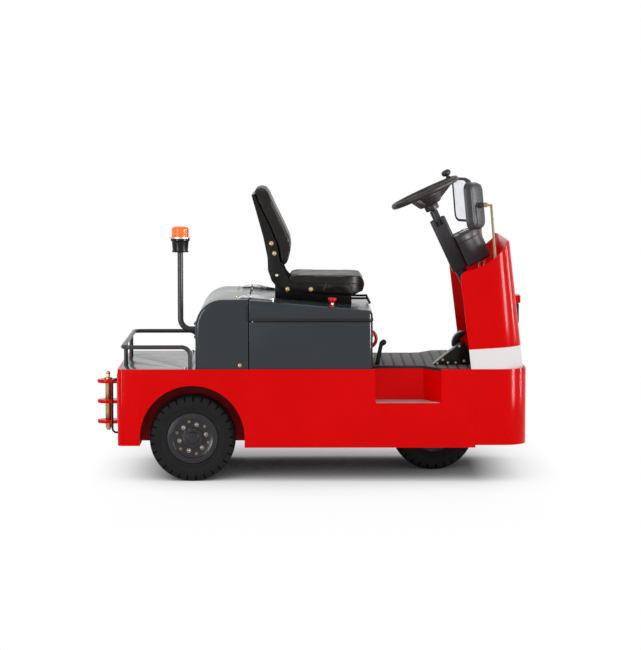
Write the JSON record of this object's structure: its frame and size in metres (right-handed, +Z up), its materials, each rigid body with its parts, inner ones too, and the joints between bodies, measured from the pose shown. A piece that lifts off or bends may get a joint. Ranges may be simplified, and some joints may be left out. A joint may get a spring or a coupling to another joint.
{
  "type": "electric tow tractor",
  "caption": "Sit-on electric tow tractor for airport baggage, with a steered front wheel, open foot well, seat on a hinged battery lid, rear deck and tow hitch.",
  "frame": {"origin": "on the ground, at the middle of the overall length and width", "axes": "+X forward, +Y to the vehicle's left, +Z up"},
  "size_m": [2.071, 0.9852, 1.4691],
  "materials": {
    "red_paint": "gloss",
    "dark_red": "satin",
    "grey_paint": "gloss",
    "black_steel": "satin",
    "cast": "matte",
    "battery": "matte",
    "mat": "matte",
    "tyre": "matte",
    "rim": "satin",
    "zinc": "satin",
    "polished": "polished",
    "black_plastic": "satin",
    "grey_plastic": "matte",
    "seat_cloth": "matte",
    "orange_lens": "gloss",
    "red_plastic": "gloss"
  },
  "bodies": {
    "chassis": {"side_plate_right": "red_paint", "side_plate_left": "red_paint", "nose_plate": "red_paint", "tail_plate": "red_paint", "wheel_arches": "dark_red", "frame_rails": "dark_red", "bulkhead": "dark_red", "under_plate": "dark_red", "floor_plate": "grey_paint", "floor_mat": "mat", "steer_head": "dark_red", "front_cowl": "red_paint", "rear_deck": "grey_paint", "deck_rail": "grey_paint", "drive_cover": "grey_paint", "battery_case": "grey_paint", "battery": "battery", "rear_axle": "cast", "drive_motor": "cast", "hitch": "red_paint", "tail_guards": "black_steel", "headlamps": "black_plastic", "lamp_visors": "red_paint", "mirror_arms": "zinc", "mirrors": "black_plastic", "steering_column": "grey_plastic", "dash_pod": "grey_plastic", "pedals": "black_steel", "parking_lever": "black_steel", "battery_plug": "red_plastic", "beacon_pole": "black_steel", "beacon_base": "black_plastic", "beacon_lens": "orange_lens", "hinge_bases": "polished"},
    "lid": {"battery_lid": "grey_paint", "hinge_leaves": "polished", "stop_button": "red_plastic", "seat_base": "black_plastic", "seat_frame": "black_steel", "seat_cushion": "seat_cloth", "seat_back": "seat_cloth"},
    "steering_wheel": {"steering_wheel": "black_plastic"},
    "steer_fork": {"steer_fork": "cast"},
    "front_wheel": {"front_tyre": "tyre", "front_rim": "rim"},
    "rear_wheel_right": {"rear_tyre_right": "tyre", "rear_rim_right": "rim"},
    "rear_wheel_left": {"rear_tyre_left": "tyre", "rear_rim_left": "rim"},
    "tow_pin": {"tow_pin": "zinc"}
  },
  "joints": [
    {"name": "lid_hinge", "type": "hinge", "parent": "chassis", "child": "lid", "pos_m": [-0.284, 0, 0.877], "axis": [0, -1, 0], "range_deg": [0, 60]},
    {"name": "fork_steer", "type": "hinge", "parent": "chassis", "child": "steer_fork", "pos_m": [0.6075, 0, 0.45], "axis": [0, 0, 1], "range_deg": [-75, 75]},
    {"name": "wheel_turn", "type": "hinge", "parent": "chassis", "child": "steering_wheel", "pos_m": [0.5685, 0, 1.357], "axis": [-0.4226, 0, 0.9063], "range_deg": [-600, 600]},
    {"name": "front_roll", "type": "hinge", "parent": "steer_fork", "child": "front_wheel", "pos_m": [0.6075, 0, 0.205], "axis": [0, 1, 0], "continuous": true},
    {"name": "rear_roll_right", "type": "hinge", "parent": "chassis", "child": "rear_wheel_right", "pos_m": [-0.5525, -0.392, 0.205], "axis": [0, 1, 0], "continuous": true},
    {"name": "rear_roll_left", "type": "hinge", "parent": "chassis", "child": "rear_wheel_left", "pos_m": [-0.5525, 0.392, 0.205], "axis": [0, 1, 0], "continuous": true},
    {"name": "pin_lift", "type": "slide", "parent": "chassis", "child": "tow_pin", "axis": [0, 0, 1], "range_m": [0, 0.26]}
  ],
  "couplings": [
    {"joint": "wheel_turn", "follows": "fork_steer", "ratio": 8}
  ]
}
